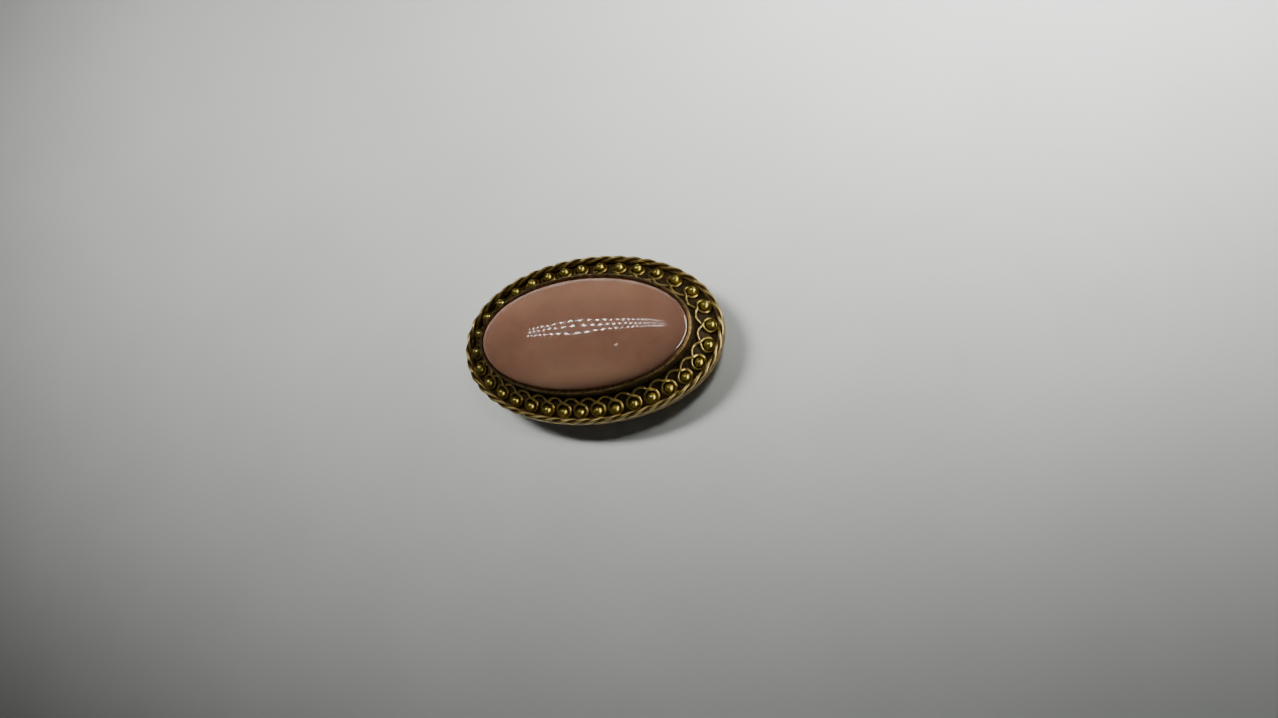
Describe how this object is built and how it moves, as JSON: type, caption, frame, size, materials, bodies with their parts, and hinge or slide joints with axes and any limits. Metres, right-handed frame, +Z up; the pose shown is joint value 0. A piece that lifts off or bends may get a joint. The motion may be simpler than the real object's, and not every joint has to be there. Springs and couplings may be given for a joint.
{
  "type": "oval cabochon brooch",
  "caption": "Oval brooch: a domed cloudy rose stone in a raised collet, ringed by looped wire, granules and a twisted rope, with a pin behind.",
  "frame": {"origin": "middle of the brooch, on the flat surface that its back rests on", "axes": "+X along the length of the oval towards the pin's catch, +Z up through the stone"},
  "size_m": [0.0376, 0.0236, 0.0105],
  "materials": {
    "antique_gold": "antiqued gold, bright on the raised parts and dark brown in the recesses",
    "rose_stone": "polished, cloudy and slightly translucent, muted rose with paler tan clouds",
    "finding_brass": "plain satin brass, slightly worn"
  },
  "bodies": {
    "root": {"setting": "antique_gold", "stone": "rose_stone", "pin_back": "finding_brass"}
  },
  "joints": []
}
